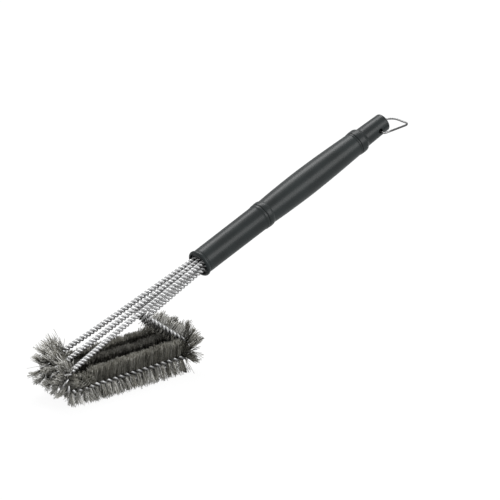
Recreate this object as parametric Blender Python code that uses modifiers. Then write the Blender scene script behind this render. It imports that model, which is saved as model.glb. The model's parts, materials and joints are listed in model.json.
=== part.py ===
"""Grill cleaning brush: three bristled triangles of twisted wire on one long black plastic handle.

Metres, +Z up. The origin is the middle of the flat scrubbing face, under the middle row of bristles.
+X runs towards the handle, +Y is the right-hand side of a person who holds the handle.
"""

import math

import bmesh
import bpy
from mathutils import Matrix, Vector

MM = 0.001
GAP = 0.3 * MM  # clearance between pieces that rest on each other

# Wire loops: side view, the same for all three
ROD_HEIGHT = 16.5 * MM  # centreline of the bottom rod above the scrubbing face
NOSE_CORNER_X = -120.8 * MM  # where the stem's and the bottom rod's lines would meet
NOSE_RADII = {-1: 8.8 * MM, 0: 9.3 * MM, 1: 10.4 * MM}  # of the left, middle and right loop
REAR_CORNER_X = 90.8 * MM  # where the bottom rod's and the riser's lines would meet
REAR_RADIUS = 8.2 * MM
RISER_TOP_X = 33.2 * MM
RISER_TOP_Z = 61.0 * MM
RISER_TOP_RADIUS = 3.4 * MM

# Wire loops: distance of each side loop from the middle one
NOSE_SPREAD = 22.3 * MM
REAR_SPREAD = 20.8 * MM
RISER_TOP_SPREAD = 8.6 * MM
HANDLE_SPREAD = 5.9 * MM
STEM_SPLAY = 0.34  # half-way along its stem, a side loop has gone this share of the way outwards

# Twisted pair
STRAND_RADIUS = 1.3 * MM
STRAND_OFFSET = 1.55 * MM  # of a strand's centreline from its rod's
TWIST_LEAD = 44 * MM  # of these plain solids, several times the real wire's
ROD_STEP = 7.4 * MM
BEND_STEP = math.radians(24)

# Handle
HANDLE_MOUTH = Vector((106.6, 0, 93.0)) * MM
HANDLE_PITCH = math.radians(19.9)
HANDLE_LENGTH = 249.3 * MM
HANDLE_STEPS = 32
STEM_LIFT = 2.95 * MM  # of the upper three rods above the handle's axis, and of the lower three below
ROD_END_DEPTH = 44 * MM
BORE_RADIUS = 10.8 * MM
WALL_BORE_RADIUS = 8.0 * MM
PLUG_SETBACK = 2.4 * MM
PLUG_LENGTH = 14 * MM
FERRULE_START = 30 * MM
FERRULE_LENGTH = 9 * MM
FERRULE_WALL = 0.7 * MM
SLEEVE_SEAM = 84.1 * MM
CAP_SEAM = 210.6 * MM
SLEEVE_SPIGOT = 11 * MM
CAP_SPIGOT = 18 * MM
SLEEVE_SPIGOT_RADIUS = 9.6 * MM
CAP_SPIGOT_RADIUS = 8.3 * MM

# Hang loop
HOLE_FROM_END = 12.2 * MM
HOLE_RADIUS = 2.2 * MM
LOOP_WIRE_RADIUS = 0.95 * MM
LOOP_DROP = HOLE_RADIUS - LOOP_WIRE_RADIUS - 0.2 * MM  # the wire lies low in its hole
LOOP_REACH = 31.3 * MM
LOOP_HALF_WIDTH = 12.5 * MM
LOOP_SHIFT = -1.4 * MM  # the loose loop sits to the left
LOOP_PITCH = math.radians(3.3)
LOOP_RIGHT_CORNER_RADIUS = 9.0 * MM
LOOP_LEFT_CORNER_RADIUS = 5.0 * MM
LOOP_HIP_RADIUS = 2.0 * MM
LOOP_PIN_END = 4.5 * MM  # where each turned-in end stops, from the loop's middle

# Bristles
BRISTLE_RADIUS = 17.2 * MM
TUNNEL_RADIUS = 3.5 * MM
RING_POINTS = 16
BED_START_X = -50 * MM
BED_END_X = 65 * MM
RISER_COVER = 0.72  # share of the sloping rod that carries bristles
BEND_CLEARANCE = 0.9 * MM  # bristles inside a bend stop this short of its centre
ROW_HALF_PITCH = 10.7 * MM

LOOPS = {"left": -1, "middle": 0, "right": 1}
ALONG_Y = Vector((0, 1, 0))
HANDLE_AXIS = Vector((math.cos(HANDLE_PITCH), 0, math.sin(HANDLE_PITCH)))
HANDLE_UP = Vector((-math.sin(HANDLE_PITCH), 0, math.cos(HANDLE_PITCH)))
GROUND = (Vector((0, 0, 0)), Vector((0, 0, -1)))


def clear_scene():
    for obj in list(bpy.data.objects):
        bpy.data.objects.remove(obj, do_unlink=True)


def new_collection(name):
    collection = bpy.data.collections.new(name)
    bpy.context.scene.collection.children.link(collection)
    return collection


def new_material(name, colour, roughness, metallic):
    material = bpy.data.materials.new(name)
    material.use_nodes = True
    shader = material.node_tree.nodes["Principled BSDF"]
    shader.inputs["Base Color"].default_value = (*colour, 1)
    shader.inputs["Roughness"].default_value = roughness
    shader.inputs["Metallic"].default_value = metallic
    return material


def wire_steel(name):
    return new_material(name, (0.62, 0.63, 0.64), 0.28, 1.0)


def bristle_steel(name):
    return new_material(name, (0.19, 0.17, 0.15), 0.5, 0.8)


def black_plastic(name):
    return new_material(name, (0.035, 0.037, 0.038), 0.45, 0.0)


def place(name, data, collection, material, parent=None):
    obj = bpy.data.objects.new(name, data)
    collection.objects.link(obj)
    obj.parent = parent
    data.materials.append(material)
    return obj


# ---------------------------------------------------------------- paths


def handle_point(depth, side=0.0, lift=0.0):
    """A point of the handle, by its depth behind the mouth and its offsets from the axis."""
    return HANDLE_MOUTH + HANDLE_AXIS * depth + ALONG_Y * side + HANDLE_UP * lift


def rod_corners(side):
    """Corners and bend radii of a loop's centreline, from its upper to its lower end in the handle."""
    at_handle = side * HANDLE_SPREAD
    mouth = handle_point(0, at_handle, STEM_LIFT)
    nose = Vector((NOSE_CORNER_X, side * NOSE_SPREAD, ROD_HEIGHT))
    half_way = mouth.lerp(nose, 0.5)
    half_way.y = mouth.y + STEM_SPLAY * (nose.y - mouth.y)
    return [
        (handle_point(ROD_END_DEPTH, at_handle, STEM_LIFT), 0),
        (mouth, 0),
        (half_way, 0),
        (nose, NOSE_RADII[side]),
        (Vector((REAR_CORNER_X, side * REAR_SPREAD, ROD_HEIGHT)), REAR_RADIUS),
        (Vector((RISER_TOP_X, side * RISER_TOP_SPREAD, RISER_TOP_Z)), RISER_TOP_RADIUS),
        (handle_point(0, at_handle, -STEM_LIFT), 0),
        (handle_point(ROD_END_DEPTH, at_handle, -STEM_LIFT), 0),
    ]


def bend(before, corner, after, radius):
    """Start, centre, turning axis and angle of the arc that rounds a corner."""
    into = (corner - before).normalized()
    out = (after - corner).normalized()
    turn = into.angle(out)
    setback = radius * math.tan(turn / 2)
    axis = into.cross(out).normalized()
    start = corner - into * setback
    centre = start + axis.cross(into) * radius
    return start, centre, axis, turn


def path_pieces(corners):
    """The centreline as ("line", start, end) and ("bend", start, centre, axis, angle) pieces."""
    pieces = []
    at = corners[0][0]
    for (before, _), (corner, radius), (after, _) in zip(corners, corners[1:], corners[2:]):
        if radius == 0:
            pieces.append(("line", at, corner))
            at = corner
            continue
        start, centre, axis, turn = bend(before, corner, after, radius)
        pieces.append(("line", at, start))
        pieces.append(("bend", start, centre, axis, turn))
        at = centre + Matrix.Rotation(turn, 3, axis) @ (start - centre)
    pieces.append(("line", at, corners[-1][0]))
    return pieces


def head_pieces(pieces):
    """The lower half of the stem, the nose bend, the bottom rod, the rear bend and the riser."""
    return pieces[2:7]


def samples(pieces, line_step, bend_step):
    """Points along the pieces, each with its tangent and its distance from the start."""
    found = []
    travelled = 0.0
    for number, piece in enumerate(pieces):
        last = number == len(pieces) - 1
        if piece[0] == "line":
            _, start, end = piece
            length = (end - start).length
            tangent = (end - start).normalized()
            count = max(1, math.ceil(length / line_step))
            for i in range(count + last):
                share = i / count
                found.append((start.lerp(end, share), tangent, travelled + share * length))
        else:
            _, start, centre, axis, turn = piece
            length = (start - centre).length * turn
            count = max(1, math.ceil(turn / bend_step))
            for i in range(count + last):
                share = i / count
                arm = Matrix.Rotation(share * turn, 3, axis) @ (start - centre)
                tangent = axis.cross(arm).normalized()
                found.append((centre + arm, tangent, travelled + share * length))
        travelled += length
    return found


def cross_axes(tangent):
    """Two unit vectors square to the tangent: the first one points into the loop's bends."""
    inward = tangent.cross(ALONG_Y).normalized()
    return inward, tangent.cross(inward)


# ---------------------------------------------------------------- wire pieces


def wire(name, points, radius, bevel_resolution, collection, material, parent=None):
    curve = bpy.data.curves.new(name, "CURVE")
    curve.dimensions = "3D"
    curve.bevel_depth = radius
    curve.bevel_resolution = bevel_resolution
    curve.use_fill_caps = True
    spline = curve.splines.new("POLY")
    spline.points.add(len(points) - 1)
    for spot, point in zip(spline.points, points):
        spot.co = (*point, 1)
    return place(name, curve, collection, material, parent)


def strand(name, side, phase, collection):
    """One wire of a loop's right-handed twisted pair."""
    points = []
    for point, tangent, travelled in samples(path_pieces(rod_corners(side)), ROD_STEP, BEND_STEP):
        inward, across = cross_axes(tangent)
        angle = 2 * math.pi * travelled / TWIST_LEAD + phase
        points.append(point + (inward * math.cos(angle) + across * math.sin(angle)) * STRAND_OFFSET)
    wire(name, points, STRAND_RADIUS, 1, collection, wire_steel(name))


def hang_loop(collection, pivot):
    """A wire bail: two legs joined at the far end, whose near ends turn in at the pivot."""
    half = LOOP_HALF_WIDTH
    corners = [
        (Vector((0, LOOP_PIN_END, 0)), 0),
        (Vector((0, half, 0)), LOOP_HIP_RADIUS),
        (Vector((LOOP_REACH, half, 0)), LOOP_RIGHT_CORNER_RADIUS),
        (Vector((LOOP_REACH, -half, 0)), LOOP_LEFT_CORNER_RADIUS),
        (Vector((0, -half, 0)), LOOP_HIP_RADIUS),
        (Vector((0, -LOOP_PIN_END, 0)), 0),
    ]
    shift = Vector((0, LOOP_SHIFT, 0))
    points = [point + shift for point, _, _ in samples(path_pieces(corners), 1, BEND_STEP)]
    wire("hang_loop", points, LOOP_WIRE_RADIUS, 2, collection, wire_steel("hang_loop"), pivot)


# ---------------------------------------------------------------- bristles

# A plane is (a point on it, its normal); bristles stop where they meet one on its back side.


def reach(point, direction, planes):
    """How far a bristle goes before its own length or a plane stops it."""
    found = BRISTLE_RADIUS
    for origin, normal in planes:
        rise = direction.dot(normal)
        if rise > 1e-6:
            found = min(found, (origin - point).dot(normal) / rise)
    return found


def bristle_sleeve(name, stations, planes_at, collection):
    """A loft of cut discs round the rod, with a tunnel for the twisted pair."""
    mesh = bmesh.new()
    rings = []
    for point, tangent, _ in stations:
        inward, across = cross_axes(tangent)
        planes = planes_at(point)
        outer = []
        inner = []
        for i in range(RING_POINTS):
            angle = 2 * math.pi * (i + 0.5) / RING_POINTS
            direction = inward * math.cos(angle) + across * math.sin(angle)
            outer.append(mesh.verts.new(point + direction * reach(point, direction, planes)))
            inner.append(mesh.verts.new(point + direction * TUNNEL_RADIUS))
        rings.append((outer, inner))
    for i in range(RING_POINTS):
        j = (i + 1) % RING_POINTS
        for (outer, inner), (next_outer, next_inner) in zip(rings, rings[1:]):
            mesh.faces.new((outer[i], outer[j], next_outer[j], next_outer[i]))
            mesh.faces.new((inner[j], inner[i], next_inner[i], next_inner[j]))
        first_outer, first_inner = rings[0]
        last_outer, last_inner = rings[-1]
        mesh.faces.new((first_inner[i], first_inner[j], first_outer[j], first_outer[i]))
        mesh.faces.new((last_outer[i], last_outer[j], last_inner[j], last_inner[i]))
    bmesh.ops.recalc_face_normals(mesh, faces=mesh.faces)
    data = bpy.data.meshes.new(name)
    mesh.to_mesh(data)
    mesh.free()
    place(name, data, collection, bristle_steel(name))


def neighbour_sides(side):
    """(which gap between rows, which way it faces) for each neighbour of a row."""
    if side == 0:
        return [(-1, -1), (1, 1)]
    return [(side, -side)]


def upright_limits(side):
    """Planes along the bottom rods, half-way to the neighbouring rows."""
    planes = []
    for gap, facing in neighbour_sides(side):
        middle = Vector((0, gap * ROW_HALF_PITCH, 0))
        planes.append((middle - ALONG_Y * facing * GAP / 2, ALONG_Y * facing))
    return planes


def riser_side_limits(side):
    """Planes along the risers, which draw together upwards, half-way to the neighbouring rows."""
    planes = []
    for gap, facing in neighbour_sides(side):
        low = Vector((REAR_CORNER_X, gap * REAR_SPREAD / 2, ROD_HEIGHT))
        high = Vector((RISER_TOP_X, gap * RISER_TOP_SPREAD / 2, RISER_TOP_Z))
        slope = high - low
        normal = slope.cross(slope.cross(ALONG_Y)).normalized()
        normal *= math.copysign(1, normal.y) * facing
        planes.append((low - normal * GAP / 2, normal))
    return planes


def bend_limit(point, centre):
    """A plane that stops bristles on the inside of a bend before they reach its centre."""
    inward = centre - point
    inward.y = 0
    normal = inward.normalized()
    return point + normal * (inward.length - BEND_CLEARANCE), normal


def at_x(line, x):
    """The point of a line piece that has the given X."""
    _, start, end = line
    return start.lerp(end, (x - start.x) / (end.x - start.x))


def nose_bristles(name, side, pieces, collection):
    _, nose_bend, bed, *_ = head_pieces(pieces)
    centre = nose_bend[2]
    path = [nose_bend, ("line", bed[1], at_x(bed, BED_START_X - GAP))]

    def planes_at(point):
        # Past the bend the height stays what it was at the bend's end
        over = Vector((min(point.x, centre.x), point.y, point.z))
        inside = bend_limit(over, centre)
        return [GROUND, *upright_limits(side), inside]

    bristle_sleeve(name, samples(path, 2 * ROD_STEP, BEND_STEP), planes_at, collection)


def wedge_plane(side, pieces):
    """The plane that halves the corner between the bottom rod and the riser, facing up."""
    _, _, bed, _, riser = head_pieces(pieces)
    corner = Vector((REAR_CORNER_X, side * REAR_SPREAD, ROD_HEIGHT))
    halfway = (riser[2] - riser[1]).normalized() - (bed[2] - bed[1]).normalized()
    normal = halfway.cross(ALONG_Y).normalized()
    return corner, normal * math.copysign(1, normal.z)


def bed_bristles(name, side, pieces, collection):
    stem, _, bed, *_ = head_pieces(pieces)
    inward, _ = cross_axes((stem[2] - stem[1]).normalized())
    under_stem = (stem[2] + inward * (TUNNEL_RADIUS + GAP), -inward)
    corner, upward = wedge_plane(side, pieces)
    under_riser = (corner - upward * GAP / 2, upward)
    planes = [GROUND, *upright_limits(side), under_stem, under_riser]
    path = [("line", at_x(bed, BED_START_X), at_x(bed, BED_END_X))]
    bristle_sleeve(name, samples(path, 20 * MM, BEND_STEP), lambda point: planes, collection)


def riser_bristles(name, side, pieces, collection):
    _, _, bed, rear_bend, riser = head_pieces(pieces)
    corner, upward = wedge_plane(side, pieces)
    over_bed = (corner + upward * GAP / 2, -upward)
    top = riser[1].lerp(riser[2], RISER_COVER)
    path = [("line", at_x(bed, BED_END_X + GAP), bed[2]), rear_bend, ("line", riser[1], top)]

    def planes_at(point):
        past_bend = (point - riser[1]).dot(top - riser[1]) > 0
        inside = over_bed if past_bend else bend_limit(point, rear_bend[2])
        return [GROUND, *riser_side_limits(side), inside]

    bristle_sleeve(name, samples(path, 2 * ROD_STEP, BEND_STEP), planes_at, collection)


# ---------------------------------------------------------------- handle


def arc_points(centre, radius, start_degrees, end_degrees, count):
    """Points (radius from the axis, depth) on a round stretch of a turned outline."""
    points = []
    for i in range(count + 1):
        angle = math.radians(start_degrees + (end_degrees - start_degrees) * i / count)
        points.append((centre[0] + radius * math.cos(angle), centre[1] + radius * math.sin(angle)))
    return points


def smooth_outline(knots, count):
    """Catmull-Rom curve through (radius, depth) knots, with count steps between neighbours."""
    padded = [Vector(knot) for knot in (knots[0], *knots, knots[-1])]
    points = []
    for before, start, end, after in zip(padded, padded[1:], padded[2:], padded[3:]):
        slope = (end - before) / 2
        next_slope = (after - start) / 2
        for i in range(count):
            t = i / count
            stay = 2 * t**3 - 3 * t**2 + 1
            leave = t**3 - 2 * t**2 + t
            arrive = t**3 - t**2
            point = start * stay + end * (1 - stay) + slope * leave + next_slope * arrive
            points.append(tuple(point))
    points.append(knots[-1])
    return points


def turned(name, outline, closed, collection, parent):
    """A Screw of an outline in (radius, depth) millimetres, from the mouth end of its outer side."""
    mesh = bmesh.new()
    corners = [mesh.verts.new((radius * MM, 0, depth * MM)) for radius, depth in reversed(outline)]
    for a, b in zip(corners, corners[1:]):
        mesh.edges.new((a, b))
    if closed:
        mesh.edges.new((corners[-1], corners[0]))
    data = bpy.data.meshes.new(name)
    mesh.to_mesh(data)
    mesh.free()
    obj = place(name, data, collection, black_plastic(name), parent)
    screw = obj.modifiers.new("Screw", "SCREW")
    screw.axis = "Z"
    screw.steps = HANDLE_STEPS
    screw.render_steps = HANDLE_STEPS
    screw.use_merge_vertices = True
    screw.merge_threshold = 1e-5
    screw.use_smooth_shade = True
    return obj


def front_sleeve(collection, frame):
    seam = SLEEVE_SEAM / MM
    bore = BORE_RADIUS / MM
    wall_bore = WALL_BORE_RADIUS / MM
    spigot = SLEEVE_SPIGOT_RADIUS / MM
    bead = arc_points((11.3, 2.1), 2.1, -90, 60, 5)
    barrel = [(12.2, 5.2), (12.3, 8.0), (12.45, seam - 4.3), (12.95, seam - 2.4), (12.95, seam)]
    inside = [
        (spigot, seam),
        (spigot, seam + SLEEVE_SPIGOT / MM),
        (wall_bore, seam + SLEEVE_SPIGOT / MM),
        (wall_bore, ROD_END_DEPTH / MM + 2),
        (bore, ROD_END_DEPTH / MM + 2),
        (bore, 0.7),
    ]
    turned("front_sleeve", [*bead, *barrel, *inside], True, collection, frame)


def grip_body(collection, frame):
    start = (SLEEVE_SEAM + GAP) / MM
    end = (CAP_SEAM - GAP) / MM
    ring = [(12.95, start), (13.15, start + 1.3), (13.1, start + 4.4), (12.7, start + 6.0)]
    waist = (12.25, start + 7.0)
    palm = [(13.0, 112), (13.4, 141), (12.8, 172)]
    bulge = smooth_outline([waist, *palm, (11.2, end - 2.9)], 3)
    flare = [(11.7, end - 1.1), (11.7, end)]
    socket = (SLEEVE_SPIGOT_RADIUS + GAP) / MM
    bore = (CAP_SPIGOT_RADIUS + GAP) / MM
    inside = [
        (bore, end),
        (bore, start + (SLEEVE_SPIGOT + GAP) / MM),
        (socket, start + (SLEEVE_SPIGOT + GAP) / MM),
        (socket, start),
    ]
    turned("grip_body", [*ring, *bulge, *flare, *inside], True, collection, frame)


def end_cap(collection, cutters, frame):
    seam = CAP_SEAM / MM
    end = HANDLE_LENGTH / MM
    spigot = CAP_SPIGOT_RADIUS / MM
    stub = [(0, seam - CAP_SPIGOT / MM), (spigot, seam - CAP_SPIGOT / MM), (spigot, seam)]
    collar = [(11.7, seam), (11.8, seam + 1.0), (11.75, seam + 5.4), (11.4, seam + 7.0)]
    neck = [(10.1, seam + 8.7), (9.6, seam + 9.6), (8.8, end - 1.8)]
    nose = arc_points((7.0, end - 1.8), 1.8, 0, 90, 4)[1:]
    cap = turned("end_cap", [*stub, *collar, *neck, *nose, (0, end)], False, collection, frame)
    bpy.ops.mesh.primitive_cylinder_add(vertices=24, radius=HOLE_RADIUS, depth=30 * MM)
    cutter = bpy.context.object
    cutter.name = "cross_hole_cutter"
    for owner in list(cutter.users_collection):
        owner.objects.unlink(cutter)
    cutters.objects.link(cutter)
    cutter.parent = frame
    cutter.location = (0, 0, HANDLE_LENGTH - HOLE_FROM_END)
    cutter.rotation_euler = (math.radians(90), 0, 0)
    cutter.hide_render = True
    cutter.display_type = "WIRE"
    hole = cap.modifiers.new("Cross hole", "BOOLEAN")
    hole.operation = "DIFFERENCE"
    hole.object = cutter


def rod_window(radius, count):
    """Outline, square to the handle's axis, of the window that lets the six rods through."""
    corners = ((1, 1), (-1, 1), (-1, -1), (1, -1))
    points = []
    for quarter, (x_side, y_side) in enumerate(corners):
        for i in range(count + 1):
            angle = math.pi / 2 * (quarter + i / count)
            x = x_side * STEM_LIFT + radius * math.cos(angle)
            y = y_side * HANDLE_SPREAD + radius * math.sin(angle)
            points.append((x, y))
    return points


def plate(name, outlines, start, thickness, collection, material, frame):
    """A flat piece square to the handle's axis: the first outline is its rim, the next its opening."""
    curve = bpy.data.curves.new(name, "CURVE")
    curve.dimensions = "2D"
    curve.fill_mode = "BOTH"
    curve.extrude = thickness / 2
    for outline in outlines:
        spline = curve.splines.new("POLY")
        spline.points.add(len(outline) - 1)
        spline.use_cyclic_u = True
        for spot, (x, y) in zip(spline.points, outline):
            spot.co = (x, y, 0, 1)
    obj = place(name, curve, collection, material, frame)
    obj.location.z = start + thickness / 2
    return obj


def wire_guide_plug(collection, frame):
    radius = BORE_RADIUS - GAP
    rim = [
        (radius * math.cos(angle), radius * math.sin(angle))
        for angle in (2 * math.pi * i / HANDLE_STEPS for i in range(HANDLE_STEPS))
    ]
    window = rod_window(STRAND_OFFSET + STRAND_RADIUS + 0.15 * MM, 4)
    material = black_plastic("wire_guide_plug")
    plate("wire_guide_plug", [rim, window], PLUG_SETBACK, PLUG_LENGTH, collection, material, frame)


def crimp_ferrule(collection, frame):
    inner = STRAND_OFFSET + STRAND_RADIUS + 0.15 * MM
    outlines = [rod_window(inner + FERRULE_WALL, 4), rod_window(inner, 4)]
    material = wire_steel("crimp_ferrule")
    plate("crimp_ferrule", outlines, FERRULE_START, FERRULE_LENGTH, collection, material, frame)


def empty(name, location, pitch_about_y, collection):
    obj = bpy.data.objects.new(name, None)
    obj.location = location
    obj.rotation_euler = (0, pitch_about_y, 0)
    collection.objects.link(obj)
    return obj


def main():
    clear_scene()
    parts = new_collection("grill_cleaning_brush")
    cutters = new_collection("cutters")
    cutters.hide_render = True

    for loop, side in LOOPS.items():
        strand(f"{loop}_strand_a", side, 0, parts)
        strand(f"{loop}_strand_b", side, math.pi, parts)
        pieces = path_pieces(rod_corners(side))
        nose_bristles(f"{loop}_nose_bristles", side, pieces, parts)
        bed_bristles(f"{loop}_bed_bristles", side, pieces, parts)
        riser_bristles(f"{loop}_riser_bristles", side, pieces, parts)

    frame = empty("handle_frame", HANDLE_MOUTH, math.pi / 2 - HANDLE_PITCH, parts)
    front_sleeve(parts, frame)
    grip_body(parts, frame)
    end_cap(parts, cutters, frame)
    wire_guide_plug(parts, frame)
    crimp_ferrule(parts, frame)

    pivot_point = handle_point(HANDLE_LENGTH - HOLE_FROM_END) - Vector((0, 0, LOOP_DROP))
    pivot = empty("hang_loop_pivot", pivot_point, -LOOP_PITCH, parts)
    hang_loop(parts, pivot)


main()
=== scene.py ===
"""Looks of the grill cleaning brush: fine wire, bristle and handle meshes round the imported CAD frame.

Lengths are in millimetres, and become metres when a mesh is made. +X runs towards the handle and +Z is up.
A loop's path starts in the handle: stem, nose bend, bed under the bristles, rear bend, riser, way back.
"""

import json
import math

import bpy
import numpy as np
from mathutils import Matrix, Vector

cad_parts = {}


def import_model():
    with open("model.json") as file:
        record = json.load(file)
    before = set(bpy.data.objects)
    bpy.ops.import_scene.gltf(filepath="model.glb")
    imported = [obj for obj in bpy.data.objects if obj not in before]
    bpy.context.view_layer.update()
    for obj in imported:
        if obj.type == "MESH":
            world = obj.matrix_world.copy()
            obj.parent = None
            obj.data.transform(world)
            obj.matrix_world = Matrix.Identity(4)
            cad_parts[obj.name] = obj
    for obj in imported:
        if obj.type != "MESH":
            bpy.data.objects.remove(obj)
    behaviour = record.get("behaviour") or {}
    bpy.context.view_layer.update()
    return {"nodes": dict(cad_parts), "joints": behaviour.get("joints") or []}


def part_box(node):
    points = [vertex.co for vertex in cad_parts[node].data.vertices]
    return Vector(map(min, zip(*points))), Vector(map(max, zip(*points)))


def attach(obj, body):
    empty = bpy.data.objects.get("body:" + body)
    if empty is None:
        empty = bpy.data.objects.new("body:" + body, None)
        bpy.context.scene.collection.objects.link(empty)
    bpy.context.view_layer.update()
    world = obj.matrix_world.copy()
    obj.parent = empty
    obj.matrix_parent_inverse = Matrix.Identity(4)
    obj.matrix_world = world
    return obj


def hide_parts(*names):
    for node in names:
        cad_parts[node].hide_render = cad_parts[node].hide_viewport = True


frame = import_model()

MM = 0.001
SEED = 20

# Skeleton, the same driving dimensions as the CAD's; main() checks every piece but the bristles against its
# node's box
ROD_HEIGHT = 16.5
NOSE_CORNER_X = -120.8
NOSE_RADII = {"left": 8.8, "middle": 9.3, "right": 10.4}
REAR_CORNER_X = 90.8
REAR_RADIUS = 8.2
RISER_TOP = (33.2, 61.0)
RISER_TOP_RADIUS = 3.4
NOSE_SPREAD = 22.3
REAR_SPREAD = 20.8
RISER_TOP_SPREAD = 8.6
HANDLE_SPREAD = 5.9
STEM_SPLAY = 0.34  # half-way along its stem, a side loop has gone this share of the way outwards
STEM_BOW_RADIUS = 700.0
HANDLE_MOUTH = np.array((106.6, 0.0, 93.0))
HANDLE_PITCH = math.radians(19.9)
HANDLE_LENGTH = 249.3
STEM_LIFT = 2.95
ROD_END_DEPTH = 44.0
BED_START_X = -50.0
BED_END_X = 65.0
RISER_COVER = 0.72
BOX_SLACK = 1.5  # how far a hard piece's box may be from its CAD node's

# Twisted pair
STRAND_RADIUS = 1.38
STRAND_OFFSET = 1.4
BRISTLED_OFFSET = 1.65  # where filaments hold the two wires apart
NOSE_OPENING = 0.5  # they stand further apart round the nose bend
STRAND_SIDES = 12
STEPS_PER_TURN = 16
STEM_LEAD = 8.7
BED_LEAD = 15.25
RISER_LEAD = 10.0
TWIST_PHASE = 0.32  # at the middle of the bed
TABLE_STEP = 0.2
PAINTED_SHADE_SHINE = 0.55  # of the bare wire's brightness, where painted shade darkens the wire fully
NOSE_PAINTED_HIGHLIGHT = -0.55  # painted highlight: the nose bend is drawn brighter than the bare wire
# painted shade on the wire of the bristled riser
RISER_PAINTED_SHADE = 0.3
PAINTED_SHADE_RUN = 60.0  # from the nose bend to where painted shade darkens the wire fully

# Bristles
ROOT_RADIUS = 0.6
SEAM_REACH = 1.9
TIP_RADIUS = 16.6
FILAMENT_RADIUS = 0.19
FILAMENT_STEPS = 5
STEP_GROWTH = 1.15  # the steps get longer towards the tip
FLOOR_CLEARANCE = 0.15
ROD_CLEARANCE = 2.9
BEND_CLEARANCE = 0.5  # filaments inside a bend stop this short of its centre
SHORTEST_KEPT = 3.0
LENGTH_BIAS = 0.8  # below 1, long filaments are more common than short ones
FOLD_SCATTER = math.radians(6)
GATHER_SCATTER = 0.2
GIRTH_SCATTER = 0.12
CRIMP = 0.11  # sideways steps along a filament
BOW = 0.55  # sideways at its tip
LOCK_WIDTH = 0.8  # neighbours within this length of rod cling together
LOCK_SHARE = 0.5  # of a filament's tint
LOCK_LEAN = 0.05
LOCK_RAGGED = 0.05
INSIDE_CONTRAST = 0.65  # of the filaments' tints inside the loop

# Of each pair, the first is for the inside of the loop and the second for the outside. A fold below 1 lays
# the filaments towards the loop's plane, and a tightness above 1 does so only to those already near it.
# Each kind's painted light shifts its filaments' tints: painted light on those outside the loop, and
# painted shade where it is negative.
BRISTLE_KINDS = {
    "stem_end": {"density": 17, "girth": 1.25, "share": (0.7, 1), "fold": (0.6, 0.45), "tightness": 1,
                 "shortest": (0.7, 0.85), "longest": (0.95, 1.25), "gather": 0.4, "scatter": 0.5,
                 "lean": 0.14, "tuft_lean": 0.1, "forward": 0.28, "painted_light": (0, 0.3), "shaded": (0, 0)},
    "nose": {"density": 27, "girth": 1.1, "share": (1, 1), "fold": (0.6, 0.6), "tightness": 2.2,
             "shortest": (0.75, 0.6), "longest": (0.95, 0.97), "gather": 0.92, "scatter": 0.27,
             "lean": 0.08, "tuft_lean": 0.12, "forward": 0, "painted_light": (0.08, 0.36), "shaded": (1, 1)},
    "bed": {"density": 46, "girth": 1.0, "share": (1, 0.95), "fold": (0.08, 0.32), "tightness": 1,
            "shortest": (1.0, 0.6), "longest": (1.1, 0.98), "gather": 0.28, "scatter": 0.5,
            "lean": 0.06, "tuft_lean": 0.08, "forward": 0, "painted_light": (0.0, 0.22), "shaded": (1, 0)},
    "rear": {"density": 34, "girth": 1.2, "share": (1, 0.9), "fold": (1, 0.5), "tightness": 3,
             "shortest": (0.75, 0.88), "longest": (0.95, 1.1), "gather": 0.95, "scatter": 0.4,
             "lean": 0.02, "tuft_lean": 0.03, "forward": 0.3, "painted_light": (-0.1, 0.05), "shaded": (1, 0.5)},
    "riser": {"density": 24, "girth": 1.3, "share": (0.1, 0.11), "fold": (0.4, 0.1), "tightness": 1,
              "shortest": (0.3, 0.6), "longest": (0.5, 0.76), "gather": 0, "scatter": 0.5,
              "lean": 0.06, "tuft_lean": 0, "forward": 0, "painted_light": (0.0, 0.4), "shaded": (0.2, 0)},
}
REAR_MARGIN = 4.0  # the rear bend's filaments reach this far past it on both sides
SHADE = {"left": 0.0, "middle": 1.0, "right": 0.3}  # how much the other loops shade a loop's filaments
SHADE_RUN = 15.0  # the length of bed over which that shade sets in
NOSE_SPLAY = {"left": 0.0, "middle": 0.1, "right": 0.3}  # how far the nose's filaments turn to +Y
LOW_REACH = {"left": 1.0, "middle": 0.75, "right": 0.6}  # of the nose's filaments that point straight down
NOSE_LEAD_IN = {"left": 6.0, "middle": 11.0, "right": 18.0}  # bristles on the stem, before the nose bend

# Handle
LATHE_STEPS = 96
BORE_RADIUS = 10.8
WALL_BORE_RADIUS = 8.0
SLEEVE_SEAM = 84.1
CAP_SEAM = 210.6
SEAM_GAP = 0.3
SEAM_CHAMFER = 0.25
SLEEVE_SPIGOT = 11.0
CAP_SPIGOT = 18.0
SLEEVE_SPIGOT_RADIUS = 9.6
CAP_SPIGOT_RADIUS = 8.3

# Hang loop
HOLE_FROM_END = 12.2
HOLE_RADIUS = 2.2
LOOP_WIRE_RADIUS = 0.95
LOOP_REACH = 31.3
LOOP_HALF_WIDTH = 12.5
LOOP_SHIFT = -1.4
LOOP_PITCH = math.radians(3.3)
LOOP_RIGHT_CORNER_RADIUS = 9.0
LOOP_LEFT_CORNER_RADIUS = 5.0
LOOP_HIP_RADIUS = 2.0
LOOP_PIN_END = 4.5  # where each turned-in end stops, from the loop's middle
LOOP_FADE = 2.0  # over this length the left leg's darkening starts and ends

# Studio paper: what the camera sees is the light it sends back, plus its own glow
PAPER_SHADING = 0.1
PAPER_GLOW = 0.93
PAPER_REFLECTED = 0.57  # its colour in reflections
FLOOR_SIZE = 12000
FLOOR_TILES = 24

# Camera, lights and room, in metres
CAMERA_AZIMUTH = -42.35
CAMERA_ELEVATION = 19.92
CAMERA_DISTANCE = 18.0
CAMERA_TARGET = (0.1455, -0.0292, 0.10575)
VIEW_WIDTH = 0.4673
SOFTBOX_DISTANCE = 1.8
SOFTBOX_WIDTH = 1.4
MATT_ROOM = (0.6, 0.605, 0.61)  # the room's colour for matt surfaces
MIRRORED_ROOM = (0.7, 0.705, 0.71)  # and in reflections

LOOPS = {"left": -1, "middle": 0, "right": 1}
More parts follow.
